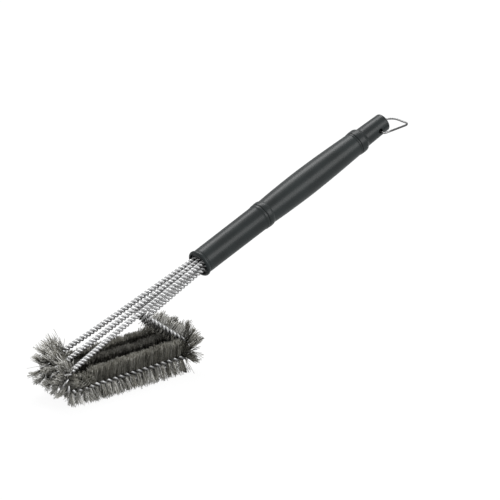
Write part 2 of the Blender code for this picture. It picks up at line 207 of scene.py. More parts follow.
# Where a loop's lines and bends stop, from half-way along the stem to the wire's end in the handle
LOOP_MARKS = ("half_way", "stem", "nose", "bed", "rear", "riser", "top", "way_back", "tail")
BIG_BENDS = (("stem", "nose"), ("bed", "rear"))
STRAIGHT_RODS = (("half_way", "stem"), ("nose", "bed"), ("rear", "riser"), ("top", "way_back"))
ALONG_Y = np.array((0.0, 1.0, 0.0))
HANDLE_AXIS = np.array((math.cos(HANDLE_PITCH), 0.0, math.sin(HANDLE_PITCH)))
HANDLE_UP = np.array((-math.sin(HANDLE_PITCH), 0.0, math.cos(HANDLE_PITCH)))


# ---------------------------------------------------------------- vectors and paths


def unit(vectors):
    return vectors / np.linalg.norm(vectors, axis=-1, keepdims=True)


def column(values):
    return np.asarray(values)[..., None]


def turned_about(vectors, axis, angles):
    """The vectors turned about a unit axis."""
    cos, sin = column(np.cos(angles)), column(np.sin(angles))
    along = column(vectors @ axis) * axis
    return along + (vectors - along) * cos + np.cross(axis, vectors) * sin


def through(distance, *stops):
    """Values at the distances, along straight lines through (distance, value) stops."""
    return np.interp(distance, *zip(*stops))


def handle_point(depth, side=0.0, lift=0.0):
    return HANDLE_MOUTH + HANDLE_AXIS * depth + ALONG_Y * side + HANDLE_UP * lift


def rod_corners(loop):
    """Corners and bend radii of one loop, from its upper end in the handle to its lower end."""
    side = LOOPS[loop]
    at_handle = side * HANDLE_SPREAD
    top_x, top_z = RISER_TOP
    mouth = handle_point(0, at_handle, STEM_LIFT)
    nose = np.array((NOSE_CORNER_X, side * NOSE_SPREAD, ROD_HEIGHT))
    half_way = (mouth + nose) / 2
    half_way[1] = mouth[1] + STEM_SPLAY * (nose[1] - mouth[1])
    return [
        (handle_point(ROD_END_DEPTH, at_handle, STEM_LIFT), 0),
        (mouth, 0),
        (half_way, STEM_BOW_RADIUS if side else 0),
        (nose, NOSE_RADII[loop]),
        (np.array((REAR_CORNER_X, side * REAR_SPREAD, ROD_HEIGHT)), REAR_RADIUS),
        (np.array((top_x, side * RISER_TOP_SPREAD, top_z)), RISER_TOP_RADIUS),
        (handle_point(0, at_handle, -STEM_LIFT), 0),
        (handle_point(ROD_END_DEPTH, at_handle, -STEM_LIFT), 0),
    ]


class Path:
    """A wire's centreline of straight lines and round bends, read by the distance along it."""

    def __init__(self, corners, bend_step=math.radians(3)):
        self.points = [corners[0][0]]
        self.tangents = [unit(corners[1][0] - corners[0][0])]
        self.distances = [0.0]
        ends = []  # where each line and each bend stops
        self.centres = []
        for (before, _), (corner, radius), (after, _) in zip(corners, corners[1:], corners[2:]):
            into, out = unit(corner - before), unit(after - corner)
            turn = math.acos(np.clip(into @ out, -1, 1))
            setback = radius * math.tan(turn / 2)
            self.add(corner - into * setback, into)
            ends.append(self.distances[-1])
            if radius == 0:
                self.add(corner + out * 1e-3, out)
                continue
            axis = unit(np.cross(into, out))
            centre = corner - into * setback + np.cross(axis, into) * radius
            self.centres.append(centre)
            start = self.points[-1] - centre
            steps = math.ceil(turn / bend_step)
            for i in range(1, steps + 1):
                arm = turned_about(start, axis, turn * i / steps)
                self.add(centre + arm, unit(np.cross(axis, arm)), turn * radius / steps)
            ends.append(self.distances[-1])
        self.add(corners[-1][0], self.tangents[-1])
        ends.append(self.distances[-1])
        self.mark = dict(zip(reversed(LOOP_MARKS), reversed(ends)))
        self.points, self.tangents = np.array(self.points), np.array(self.tangents)
        self.distances = np.array(self.distances)
        self.length = self.distances[-1]

    def add(self, point, tangent, step=None):
        if step is None:
            step = np.linalg.norm(point - self.points[-1])
        self.points.append(point)
        self.tangents.append(tangent)
        self.distances.append(self.distances[-1] + step)

    def point_and_tangent(self, distance):
        point, tangent = (
            np.stack([np.interp(distance, self.distances, values[:, i]) for i in range(3)], -1)
            for values in (self.points, self.tangents)
        )
        return point, unit(tangent)

    def at(self, distance):
        """Points, tangents, and the two square directions: into the bends, and across them."""
        point, tangent = self.point_and_tangent(distance)
        inward = unit(np.cross(tangent, ALONG_Y))
        return point, tangent, inward, np.cross(tangent, inward)


# ---------------------------------------------------------------- meshes


def new_piece(name, points, face_sets, material, attributes=()):
    """An object from points in millimetres and arrays of faces.

    Each of the attributes is a name and an array with up to four numbers for each point.
    """
    mesh = bpy.data.meshes.new(name)
    mesh.vertices.add(len(points))
    mesh.vertices.foreach_set("co", (points * MM).astype(np.float32).ravel())
    corners = np.concatenate([faces.ravel() for faces in face_sets]).astype(np.int32)
    sizes = np.concatenate([np.full(len(faces), faces.shape[1]) for faces in face_sets])
    mesh.loops.add(len(corners))
    mesh.loops.foreach_set("vertex_index", corners)
    mesh.polygons.add(len(sizes))
    mesh.polygons.foreach_set("loop_start", (np.cumsum(sizes) - sizes).astype(np.int32))
    mesh.update(calc_edges=True)
    mesh.validate()
    for attribute, values in attributes:
        layer = mesh.attributes.new(attribute, "FLOAT_COLOR", "POINT")
        colours = np.ones((len(points), 4), np.float32)
        colours[:, : values.shape[-1]] = values.reshape(len(points), -1)
        layer.data.foreach_set("color", colours.ravel())
    mesh.shade_smooth()
    mesh.materials.append(material)
    obj = bpy.data.objects.new(name, mesh)
    bpy.context.scene.collection.objects.link(obj)
    return obj


def grid_faces(rows, columns, first=0):
    """Quads of a grid of points that is closed round its columns."""
    row, col = np.meshgrid(np.arange(rows - 1), np.arange(columns), indexing="ij")
    after = (col + 1) % columns
    quads = np.stack([row * columns + col, row * columns + after,
                      (row + 1) * columns + after, (row + 1) * columns + col], -1)
    return quads.reshape(-1, 4) + first


def tube(name, centres, normals, tangents, radius, sides, material, distances, dimming):
    """A round wire with closed ends, whose rings start from the given normals.

    Its attribute holds the distance along the wire and round it, how far a point faces its normal (0 to 1)
    and how much darker the wire is drawn (its dimming).
    """
    binormals = unit(np.cross(tangents, normals))
    normals = np.cross(binormals, tangents)
    angles = 2 * np.pi * np.arange(sides) / sides
    arms = normals[:, None] * column(np.cos(angles)) + binormals[:, None] * column(np.sin(angles))
    points = (centres[:, None] + radius * arms).reshape(-1, 3)
    count = len(centres)
    start_cap = np.arange(sides)[None, ::-1]
    end_cap = np.arange(sides)[None] + (count - 1) * sides
    place = np.zeros((count, sides, 4))
    place[..., 0] = column(distances)
    place[..., 1] = angles * radius
    place[..., 2] = (1 + np.cos(angles)) / 2
    place[..., 3] = column(dimming)
    faces = [grid_faces(count, sides), start_cap, end_cap]
    return new_piece(name, points, faces, material, [("wire_place", place)])


# ---------------------------------------------------------------- twisted wire


def twist_table(path):
    """Distances along the path, and the twisted pair's angle at each of them."""
    stem, bed, rear, riser = (path.mark[name] for name in ("stem", "bed", "rear", "riser"))
    distances = np.arange(0, path.length, TABLE_STEP)
    leads = through(distances, (stem - 8, STEM_LEAD), (stem + 2, BED_LEAD), (rear + 2, BED_LEAD),
                    (rear + 12, RISER_LEAD), (riser - 4, RISER_LEAD), (riser + 6, STEM_LEAD))
    rates = 2 * np.pi / leads
    angles = np.concatenate([[0], np.cumsum(rates[:-1]) * TABLE_STEP])
    middle = np.interp((stem + bed) / 2, distances, angles)
    return distances, angles - middle + TWIST_PHASE


def strand(loop, letter, path, table, phase, material):
    """One of a loop's two wires, from its end in the handle, round the loop and back."""
    angles = np.arange(table[1][0], table[1][-1], 2 * np.pi / STEPS_PER_TURN)
    distances = np.interp(angles, table[1], table[0])
    point, _, inward, across = path.at(distances)
    angles = angles + phase
    radial = inward * column(np.cos(angles)) + across * column(np.sin(angles))
    stem, nose, rear, riser = (path.mark[name] for name in ("stem", "nose", "rear", "riser"))
    first = stem - NOSE_LEAD_IN[loop]
    last = rear + (riser - rear) * RISER_COVER
    bristled = through(distances, (first - 6, 0), (first, 1), (last, 1), (last + 6, 0))
    opened = through(distances, (stem - 4, 0), (stem + 2, 1), (nose - 2, 1), (nose + 4, 0))
    # Painted shade darkens the wire where bristles cover it, and a painted highlight brightens the nose
    # bend.
    dimming = through(distances, (stem - 8, 0), (stem, NOSE_PAINTED_HIGHLIGHT), (nose, NOSE_PAINTED_HIGHLIGHT),
                       (nose + PAINTED_SHADE_RUN, 1), (rear, 1), (rear + 10, RISER_PAINTED_SHADE), (last, RISER_PAINTED_SHADE),
                       (last + 6, 0))
    # painted shade: inside the handle's mouth the wire is drawn fully dimmed
    in_handle = np.minimum(distances, path.length - distances) < ROD_END_DEPTH + 1
    offset = STRAND_OFFSET + (BRISTLED_OFFSET - STRAND_OFFSET) * bristled + NOSE_OPENING * opened
    centres = point + radial * column(offset)
    tangents = unit(np.gradient(centres, axis=0))
    piece = tube(f"{loop}_wire_{letter}", centres, radial, tangents, STRAND_RADIUS, STRAND_SIDES, material,
                 distances, np.maximum(dimming, in_handle))
    dress(piece, f"{loop}_strand_{letter}", "brush", slack=2 * STRAND_OFFSET)


# ---------------------------------------------------------------- bristles


def stop_at_rod(reach, roots, directions, start, end, clearance=ROD_CLEARANCE):
    """Shortens filaments that would run into a straight rod."""
    rod = unit(end - start)
    to_root = roots - start
    lean = directions @ rod
    along = to_root @ rod
    reach_there = (lean * along - np.sum(directions * to_root, -1)) / (1 - lean**2)
    rod_there = along + lean * reach_there
    gap = np.linalg.norm(to_root + directions * column(reach_there) - column(rod_there) * rod, axis=-1)
    hits = (gap < clearance) & (reach_there > 4) & (rod_there > 0)
    hits &= rod_there < np.linalg.norm(end - start)
    return np.where(hits, np.minimum(reach, reach_there - clearance), reach)


def tuft_centres(table):
    """Distances at which a seam of the twisted pair faces straight out of the loop."""
    distances, angles = table
    turns = np.arange(math.ceil(angles[0] / np.pi), math.floor(angles[-1] / np.pi))
    return np.interp((turns + 0.5) * np.pi, angles, distances)


def root_groups(path, span, place, rng):
    """Distances of the filaments' roots, in groups with the name of each one's row in BRISTLE_KINDS."""
    stem = path.mark["stem"]
    rear_start = path.mark["bed"] - REAR_MARGIN
    rear_end = path.mark["rear"] + REAR_MARGIN
    zones = [(0, stem, "stem_end"), (stem, rear_start, place), (rear_start, rear_end, "rear"),
             (rear_end, path.length, place)]
    for zone_start, zone_end, kind in zones:
        start, end = max(zone_start, span[0]), min(zone_end, span[1])
        if end > start:
            count = int((end - start) * BRISTLE_KINDS[kind]["density"])
            yield np.sort(rng.uniform(start, end, count)), kind


def bristles(loop, place, path, table, span, material, rng):
    """Crimped filaments that leave the twisted pair along its two seams.

    They part to the two sides of the loop's plane. On the inside of the loop they stand evenly, and on
    the outside they gather into a tuft at every half turn of the pair.
    """
    groups = [filaments(loop, path, table, distance, BRISTLE_KINDS[kind], rng)
              for distance, kind in root_groups(path, span, place, rng)]
    build_filaments(f"{loop}_{place}_filaments", f"{loop}_{place}_bristles",
                    *[np.concatenate(values) for values in zip(*groups)], material, rng)


def for_side(pair, outside):
    """The first of the pair for filaments inside the loop, and the second for those outside."""
    return np.where(outside, pair[1], pair[0])


def filaments(loop, path, table, distance, kind, rng):
    """One kind's filaments, as the arrays that build_filaments takes, from root to shade."""
    distance, seam, outside = seams(table, distance, kind, rng)
    lock_tint, lock_lean, lock_reach = locks(distance, outside, rng)
    point, _, inward, across = path.at(distance)
    leaving = inward * column(np.cos(seam)) + across * column(np.sin(seam))
    direction, tangent, inward = aim(loop, path, table, distance, seam, outside, kind, lock_lean, rng)

    count = len(distance)
    shortest, longest = (for_side(kind[key], outside) for key in ("shortest", "longest"))
    reach = TIP_RADIUS * (shortest + (longest - shortest) * rng.random(count) ** LENGTH_BIAS) * lock_reach
    low = np.clip(-direction[:, 2], 0, 1)
    in_nose = distance < path.mark["nose"]
    reach *= np.where(outside & in_nose, 1 - (1 - LOW_REACH[loop]) * low, 1)
    reach = stop_in_bends(reach, path, distance, point, direction, inward)
    for rod in STRAIGHT_RODS:
        rod_start, rod_end = (path.at(path.mark[name])[0] for name in rod)
        reach = stop_at_rod(reach, point, direction, rod_start, rod_end)
    downward = np.minimum(direction[:, 2], -1e-6)
    reach = np.minimum(reach, (point[:, 2] - FLOOR_CLEARANCE) / -downward)

    tint = LOCK_SHARE * lock_tint + (1 - LOCK_SHARE) * rng.random(count)
    tint = 0.5 + (tint - 0.5) * for_side((INSIDE_CONTRAST, 1), outside)
    # painted light and shade: each side's tints shift lighter or darker by its kind's offset
    tint = np.clip(tint + for_side(kind["painted_light"], outside), 0, 1)
    girth = kind["girth"] * FILAMENT_RADIUS * (1 + rng.normal(0, GIRTH_SCATTER, count))
    shade = SHADE[loop] * np.clip((distance - path.mark["nose"]) / SHADE_RUN, 0, 1)
    shade *= for_side(kind["shaded"], outside)
    keep = reach > SHORTEST_KEPT
    return [values[keep] for values in (point, leaving, direction, tangent, reach, tint, girth, shade)]


def seams(table, distance, kind, rng):
    """Distances and seam angles of the filaments that a kind keeps, and which are outside the loop."""
    count = len(distance)
    seam = np.interp(distance, table[0], table[1]) + np.pi * (0.5 + rng.integers(0, 2, count))
    seam += rng.normal(0, kind["scatter"], count)
    outside = np.cos(seam) < 0
    keep = rng.random(count) < for_side(kind["share"], outside)
    return distance[keep], seam[keep], outside[keep]


def aim(loop, path, table, distance, seam, outside, kind, lock_lean, rng):
    """The filaments' directions, with the rod's tangents and inward directions where their tufts stand."""
    count = len(distance)
    fold = np.arctan2(np.sin(seam), np.abs(np.cos(seam))) / (np.pi / 2)
    tightness = for_side((1, kind["tightness"]), outside)
    fold = np.sign(fold) * np.abs(fold) ** tightness * (np.pi / 2) * for_side(kind["fold"], outside)
    fold += rng.normal(0, FOLD_SCATTER, count)
    centres = tuft_centres(table)
    tuft = np.abs(distance[:, None] - centres).argmin(1)
    to_tuft = centres[tuft] - distance
    loose = (1 - kind["gather"]) * np.clip(rng.normal(1, GATHER_SCATTER, len(centres)), 0.5, 1.5)[tuft]
    gather = np.where(outside, 1 - loose, 0)
    tuft_lean = rng.normal(0, kind["tuft_lean"], (len(centres), 2))[tuft]
    _, tangent, inward, across = path.at(distance + gather * to_tuft)
    splay = NOSE_SPLAY[loop] * (distance < path.mark["nose"])
    angle = np.where(outside, np.pi - fold, fold) + np.where(outside, tuft_lean[:, 1] + splay, 0)
    lean = rng.normal(kind["forward"], kind["lean"], count) + lock_lean
    lean += np.where(outside, tuft_lean[:, 0], 0)
    lean += np.arctan(gather * to_tuft / TIP_RADIUS) * in_line(path, distance)
    direction = inward * column(np.cos(angle)) + across * column(np.sin(angle))
    return unit(direction + tangent * column(np.tan(lean))), tangent, inward


def stop_in_bends(reach, path, distance, roots, directions, inward):
    """Shortens filaments that would cross the middle of the bend they stand in."""
    for (low, high), centre in zip(BIG_BENDS, path.centres[-3:]):
        in_bend = (distance > path.mark[low]) & (distance < path.mark[high])
        to_centre = np.sum((centre - roots) * inward, -1)
        rise = np.maximum(np.sum(directions * inward, -1), 1e-3)
        room = (to_centre - BEND_CLEARANCE) / rise
        reach = np.where(in_bend & (room < reach), room, reach)
    return reach


def locks(distance, outside, rng):
    """Neighbouring filaments cling together in locks: the tint, lean and length of each one's lock."""
    first = distance.min()
    lock = ((distance - first) / LOCK_WIDTH).astype(int) * 2 + outside
    number = lock.max() + 1
    tint = rng.random(number)
    lean = rng.normal(0, LOCK_LEAN, number)
    length = 1 + rng.normal(0, LOCK_RAGGED, number)
    return tint[lock], lean[lock], length[lock]


def in_line(path, distance):
    """1 on the straight rods and 0 in the two big bends."""
    bends = [(path.mark[low], path.mark[high]) for low, high in BIG_BENDS]
    inside = [(distance > start) & (distance < end) for start, end in bends]
    return np.where(inside[0] | inside[1], 0.0, 1.0)


def build_filaments(name, node, root, leaving, direction, tangent, reach, tint, girth, shade,
                    material, rng):
    """One three-sided crimped rod a filament: it leaves the seam, then turns to its own direction.

    Its attribute holds the filament's tint, how far along it a point is (0 to 1), a random number and how
    much the other loops shade it.
    """
    count = len(root)
    side = unit(np.cross(direction, tangent))
    other = np.cross(side, direction)
    share = np.linspace(0, 1, FILAMENT_STEPS + 1)
    run = column(reach) * share**STEP_GROWTH
    out_of_seam = np.interp(share, [0, share[1], 1], [ROOT_RADIUS, SEAM_REACH, 0])
    crimp = rng.normal(0, CRIMP, (count, len(share), 2)) * np.minimum(1, share * 3)[:, None]
    bow = rng.normal(0, BOW, (count, 1, 2)) * (share**2)[:, None]
    shift = crimp + bow
    centres = (root[:, None] + direction[:, None] * run[..., None] + leaving[:, None] * column(out_of_seam)
               + side[:, None] * shift[..., :1] + other[:, None] * shift[..., 1:])
    centres[..., 2] = np.maximum(centres[..., 2], FLOOR_CLEARANCE + FILAMENT_RADIUS)
    roll = rng.uniform(0, 2 * np.pi, (count, 1, 1)) + 2 * np.pi * np.arange(3) / 3
    ring = side[:, None, None] * np.cos(roll)[..., None] + other[:, None, None] * np.sin(roll)[..., None]
    points = centres[:, :, None] + ring * girth[:, None, None, None]

    per = len(share) * 3
    firsts = np.arange(count)[:, None, None] * per
    body = (grid_faces(len(share), 3)[None] + firsts).reshape(-1, 4)
    caps = np.array([[2, 1, 0], [per - 3, per - 2, per - 1]])
    caps = (caps[None] + firsts).reshape(-1, 3)
    look = np.zeros((count, len(share), 3, 4))
    look[..., 0] = tint[:, None, None]
    look[..., 1] = share[None, :, None]
    look[..., 2] = rng.random((count, 1, 1))
    look[..., 3] = shade[:, None, None]
    piece = new_piece(name, points.reshape(-1, 3), [body, caps], material, [("filament", look)])
    dress(piece, node, "brush", slack=math.inf)


# ---------------------------------------------------------------- handle


def arc(centre, radius, start_degrees, end_degrees, count):
    angles = np.radians(np.linspace(start_degrees, end_degrees, count + 1))
    return [(centre[0] + radius * math.cos(a), centre[1] + radius * math.sin(a)) for a in angles]


def smooth(knots, count):
    """Catmull-Rom curve through (radius, depth) knots, with count steps between neighbours."""
    padded = np.array([knots[0], *knots, knots[-1]], float)
    t = (np.arange(count) / count)[:, None]
    spans = [
        0.5 * (2 * b + (c - a) * t + (2 * a - 5 * b + 4 * c - d) * t**2 + (3 * b - a - 3 * c + d) * t**3)
        for a, b, c, d in zip(padded, padded[1:], padded[2:], padded[3:])
    ]
    return [tuple(point) for span in spans for point in span] + [tuple(knots[-1])]


def lathe(name, outline, closed, material):
    """A turned piece on the handle's axis from (radius, depth) points; an open outline ends on the axis."""
    outline = np.array(outline, float)
    angles = 2 * np.pi * np.arange(LATHE_STEPS) / LATHE_STEPS
    across = column(np.cos(angles)) * HANDLE_UP + column(np.sin(angles)) * ALONG_Y
    if closed:
        rings = np.vstack([outline, outline[:1]])
        faces = grid_faces(len(rings), LATHE_STEPS)
        faces %= len(outline) * LATHE_STEPS
        caps = []
    else:
        outline = outline[1:-1]
        faces = grid_faces(len(outline), LATHE_STEPS)
        last = (len(outline) - 1) * LATHE_STEPS
        caps = [np.arange(LATHE_STEPS)[None, ::-1], np.arange(LATHE_STEPS)[None] + last]
    points = (HANDLE_MOUTH + HANDLE_AXIS * outline[:, None, 1:2] + across * outline[:, None, :1])
    piece = new_piece(name, points.reshape(-1, 3), [faces, *caps], material)
    piece.data.set_sharp_from_angle(angle=math.radians(32))
    return piece


def front_sleeve(material):
    lip, groove = (11.3, 2.1), 0.25
    bead = arc(lip, 2.1, -90, 62, 14)
    barrel = smooth([bead[-1], (12.2 - groove, 4.7), (12.22, 5.8), (12.3, 8.0)], 4)[1:]
    ring = smooth([(12.45, SLEEVE_SEAM - 4.3), (12.65, SLEEVE_SEAM - 3.3), (12.95, SLEEVE_SEAM - 2.2),
                   (13.0, SLEEVE_SEAM - 1.2), (12.95, SLEEVE_SEAM - SEAM_CHAMFER)], 4)
    inside = [
        (12.95 - SEAM_CHAMFER, SLEEVE_SEAM),
        (SLEEVE_SPIGOT_RADIUS, SLEEVE_SEAM),
        (SLEEVE_SPIGOT_RADIUS, SLEEVE_SEAM + SLEEVE_SPIGOT),
        (WALL_BORE_RADIUS, SLEEVE_SEAM + SLEEVE_SPIGOT),
        (WALL_BORE_RADIUS, ROD_END_DEPTH + 2),
        (BORE_RADIUS, ROD_END_DEPTH + 2),
        (BORE_RADIUS, 0.7),
    ]
    piece = lathe("front_sleeve_finish", [*bead, *barrel, *ring, *inside], True, material)
    dress(piece, "front_sleeve", "brush")


def grip_body(material):
    start = SLEEVE_SEAM + SEAM_GAP
    end = CAP_SEAM - SEAM_GAP
    ring = smooth([(12.95, start + SEAM_CHAMFER), (13.15, start + 1.3), (13.18, start + 2.8),
                   (13.1, start + 4.4), (12.7, start + 6.0), (12.25, start + 7.0)], 4)
    palm = [(12.34, start + 9), (13.0, 112), (13.4, 141), (12.8, 172), (11.5, end - 6), (11.2, end - 2.9)]
    bulge = smooth([ring[-1], *palm], 8)[1:]
    flare = smooth([bulge[-1], (11.32, end - 2.2), (11.6, end - 1.3), (11.7, end - SEAM_CHAMFER)], 4)[1:]
    socket = SLEEVE_SPIGOT_RADIUS + SEAM_GAP
    bore = CAP_SPIGOT_RADIUS + SEAM_GAP
    depth = start + SLEEVE_SPIGOT + SEAM_GAP
    inside = [(11.7 - SEAM_CHAMFER, end), (bore, end), (bore, depth), (socket, depth), (socket, start),
              (12.95 - SEAM_CHAMFER, start)]
    piece = lathe("grip_body_finish", [*ring, *bulge, *flare, *inside], True, material)
    dress(piece, "grip_body", "brush")


def end_cap(material):
    stub_end = CAP_SEAM - CAP_SPIGOT
    stub = [(0, stub_end), (CAP_SPIGOT_RADIUS, stub_end), (CAP_SPIGOT_RADIUS, CAP_SEAM),
            (11.7 - SEAM_CHAMFER, CAP_SEAM)]
    collar = smooth([(11.7, CAP_SEAM + SEAM_CHAMFER), (11.8, CAP_SEAM + 1.2), (11.8, CAP_SEAM + 5.0),
                     (11.4, CAP_SEAM + 6.9), (10.15, CAP_SEAM + 8.5), (9.6, CAP_SEAM + 9.8)], 5)
    neck = smooth([collar[-1], (9.2, 234), (8.8, HANDLE_LENGTH - 1.8)], 6)[1:]
    nose = arc((7.0, HANDLE_LENGTH - 1.8), 1.8, 0, 90, 8)[1:]
    outline = [*stub, *collar, *neck, *nose, (1.5, HANDLE_LENGTH), (0, HANDLE_LENGTH)]
    piece = lathe("end_cap_finish", outline, False, material)
    drill_cross_hole(piece)
    dress(piece, "end_cap", "brush")


def drill_cross_hole(piece):
    """Cuts the hang loop's hole, with a small chamfer at each side."""
    centre = handle_point(HANDLE_LENGTH - HOLE_FROM_END)
    wide = HOLE_RADIUS + 1.2
    outline = [(wide, -10.2), (HOLE_RADIUS, -8.6), (HOLE_RADIUS, 8.6), (wide, 10.2)]
    sides = 40
    angles = 2 * np.pi * np.arange(sides) / sides
    arms = column(np.cos(angles)) * HANDLE_AXIS - column(np.sin(angles)) * HANDLE_UP
    points = np.concatenate([centre + ALONG_Y * y + radius * arms for radius, y in outline])
    ends = [np.arange(sides)[None, ::-1], np.arange(sides)[None] + 3 * sides]
    cutter = new_piece("hole_cutter", points, [grid_faces(4, sides), *ends], piece.data.materials[0])
    hole = piece.modifiers.new("Cross hole", "BOOLEAN")
    hole.operation = "DIFFERENCE"
    hole.object = cutter
    apply_modifiers(piece)
    bpy.data.objects.remove(cutter)
    piece.data.set_sharp_from_angle(angle=math.radians(32))


def apply_modifiers(piece):
    graph = bpy.context.evaluated_depsgraph_get()
    finished = bpy.data.meshes.new_from_object(piece.evaluated_get(graph))
    piece.modifiers.clear()
    piece.data = finished


def hang_loop(material):
    """The wire bail, swung to rest about the pin line that the record gives."""
    pivot = np.array(frame["joints"][0]["pos_m"]) / MM
    half = LOOP_HALF_WIDTH
    flat = [
        (0, LOOP_PIN_END, 0),
        (0, half, LOOP_HIP_RADIUS),
        (LOOP_REACH, half, LOOP_RIGHT_CORNER_RADIUS),
        (LOOP_REACH, -half, LOOP_LEFT_CORNER_RADIUS),
        (0, -half, LOOP_HIP_RADIUS),
        (0, -LOOP_PIN_END, 0),
    ]
    forward = np.array((math.cos(LOOP_PITCH), 0, math.sin(LOOP_PITCH)))
    corners = [(pivot + forward * x + ALONG_Y * (y + LOOP_SHIFT), radius) for x, y, radius in flat]
    path = Path(corners, math.radians(6))
    distances = np.unique(np.concatenate([path.distances, np.arange(0, path.length, 2)]))
    point, tangent = path.point_and_tangent(distances)
    normal = np.tile(unit(np.cross(ALONG_Y, forward)), (len(point), 1))
    left = LOOP_SHIFT - half
    left_end = path.length - half
    # the left leg is drawn darker, fading out towards its corner and its turned-in end
    left_leg_darkening = through(point[:, 1], (left, 1), (left + LOOP_FADE, 0))
    left_leg_darkening *= through(distances, (left_end - LOOP_FADE, 1), (left_end, 0))
    piece = tube("hang_loop_finish", point, normal, tangent, LOOP_WIRE_RADIUS, 20, material, distances,
                 left_leg_darkening)
    piece.data.set_sharp_from_angle(angle=math.radians(50))
    dress(piece, "hang_loop", "hang_loop")


# ---------------------------------------------------------------- dressing


def dress(piece, node, body, slack=BOX_SLACK):
    """Puts a piece in a CAD node's place, once it has been measured against that node."""
    bpy.context.view_layer.update()
    corners = np.array([piece.matrix_world @ Vector(corner) for corner in piece.bound_box]) / MM
    cad_low, cad_high = (np.array(corner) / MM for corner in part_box(node))
    apart = max(np.abs(corners.min(0) - cad_low).max(), np.abs(corners.max(0) - cad_high).max())
    if apart > slack:
        raise ValueError(f"{piece.name} is {apart:.2f} mm off the box of {node}")
    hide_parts(node)
    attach(piece, body)


def shader_material(name):
    material = bpy.data.materials.new(name)
    material.use_nodes = True
    return material, material.node_tree, material.node_tree.nodes["Principled BSDF"]


def add(tree, kind, inputs=None, **settings):
    """A node with its settings made, and its inputs linked to sockets or set to values."""
    node = tree.nodes.new(kind)
    for key, value in settings.items():
        setattr(node, key, value)
    for key, value in (inputs or {}).items():
        put(tree, node.inputs[key], value)
    return node


def put(tree, socket, value):
    if isinstance(value, bpy.types.NodeSocket):
        tree.links.new(value, socket)
    else:
        socket.default_value = value


def grey(level):
    return (level, level, level)


def ramp(tree, fac, *stops):
    """A colour ramp of (position, colour) stops."""
    node = add(tree, "ShaderNodeValToRGB", {"Fac": fac})
    elements = node.color_ramp.elements
    while len(elements) < len(stops):
        elements.new(0.5)
    for element, (position, colour) in zip(elements, stops):
        element.position = position
        element.color = (*colour, 1)
    return node.outputs["Color"]


def remap(tree, value, low, high, to_low, to_high):
    inputs = {"Value": value, "From Min": low, "From Max": high, "To Min": to_low, "To Max": to_high}
    return add(tree, "ShaderNodeMapRange", inputs).outputs["Result"]


def grain(tree, scale, detail, stretch=(1, 1, 1), source=None):
    """Noise in millimetres of the object, or of the given vector."""
    if source is None:
        source = add(tree, "ShaderNodeTexCoord").outputs["Object"]
        stretch = tuple(s / MM for s in stretch)
    place = add(tree, "ShaderNodeVectorMath", {0: source, 1: stretch}, operation="MULTIPLY")
    inputs = {"Vector": place.outputs[0], "Scale": scale, "Detail": detail}
    return add(tree, "ShaderNodeTexNoise", inputs).outputs["Fac"]


def wire_steel(name, lightest, darkest, crevice_grime_and_shade, roughness, dimmed_shine):
    """Drawn steel wire of three greys: fine lines along it, cloudy tarnish, and grime with painted shade
    where wires touch.

    Where its dimming is 1, it is dimmed_shine times as bright, and a negative dimming makes it brighter.
    """
    material, tree, shader = shader_material(name)
    place = add(tree, "ShaderNodeAttribute", attribute_name="wire_place")
    parts = add(tree, "ShaderNodeSeparateXYZ", {0: place.outputs["Vector"]})
    lines = grain(tree, 1.0, 3, (0.25, 5.0, 0), place.outputs["Vector"])
    clouds = grain(tree, 0.16, 4)
    base = ramp(tree, clouds, (0.3, grey(darkest)), (0.7, grey(lightest)))
    lined = add(tree, "ShaderNodeMix", {"Factor": remap(tree, lines, 0.42, 0.62, 0, 0.35), 6: base,
                                        7: (*grey(darkest), 1)}, data_type="RGBA")
    # grime with painted shade: the side of a wire that faces the other wire is drawn darker
    touching = remap(tree, parts.outputs["Z"], 0.0, 0.42, 1, 0)
    grimy_and_shaded = add(tree, "ShaderNodeMix", {"Factor": touching, 6: lined.outputs[2], 7: (*grey(crevice_grime_and_shade), 1)},
                data_type="RGBA")
    # the dimming darkens the colour and a negative dimming brightens it; on the twisted wire these are
    # painted shade and a painted highlight
    shine = remap(tree, place.outputs["Alpha"], -1, 1, 2 - dimmed_shine, dimmed_shine)
    seen = add(tree, "ShaderNodeVectorMath", {0: grimy_and_shaded.outputs[2], "Scale": shine}, operation="SCALE")
    put(tree, shader.inputs["Base Color"], seen.outputs[0])
    shader.inputs["Metallic"].default_value = 1.0
    put(tree, shader.inputs["Roughness"], remap(tree, lines, 0.3, 0.7, roughness - 0.05, roughness + 0.1))
    bump = add(tree, "ShaderNodeBump", {"Strength": 0.25, "Distance": 0.00006, "Height": lines})
    put(tree, shader.inputs["Normal"], bump.outputs["Normal"])
    return material


def bristle_steel(name):
    """Fine stainless filaments: brown-grey, with painted shade towards the root and painted light at the
    silvery cut tips.
    """
    material, tree, shader = shader_material(name)
    look = add(tree, "ShaderNodeAttribute", attribute_name="filament")
    parts = add(tree, "ShaderNodeSeparateXYZ", {0: look.outputs["Vector"]})
    own = ramp(tree, parts.outputs["X"], (0.1, (0.09, 0.087, 0.074)), (0.5, (0.25, 0.24, 0.205)),
               (0.78, (0.48, 0.47, 0.43)), (0.95, (0.85, 0.84, 0.8)))
    clouds = remap(tree, grain(tree, 0.12, 2), 0.35, 0.65, 0.75, 1.1)
    # painted shade darkens each filament towards its root and painted light brightens its tip; the other
    # loops' painted shade lowers both
    at_root = remap(tree, look.outputs["Alpha"], 0, 1, 0.7, 0.3)
    at_tip = remap(tree, look.outputs["Alpha"], 0, 1, 1.15, 0.5)
    shade = remap(tree, parts.outputs["Y"], 0.15, 1.0, at_root, at_tip)
    depth = add(tree, "ShaderNodeMath", {0: clouds, 1: shade}, operation="MULTIPLY")
    colour = add(tree, "ShaderNodeVectorMath", {0: own, "Scale": depth.outputs[0]}, operation="SCALE")
    put(tree, shader.inputs["Base Color"], colour.outputs[0])
    shader.inputs["Metallic"].default_value = 0.75
    put(tree, shader.inputs["Roughness"], remap(tree, parts.outputs["Z"], 0, 1, 0.32, 0.55))
    return material


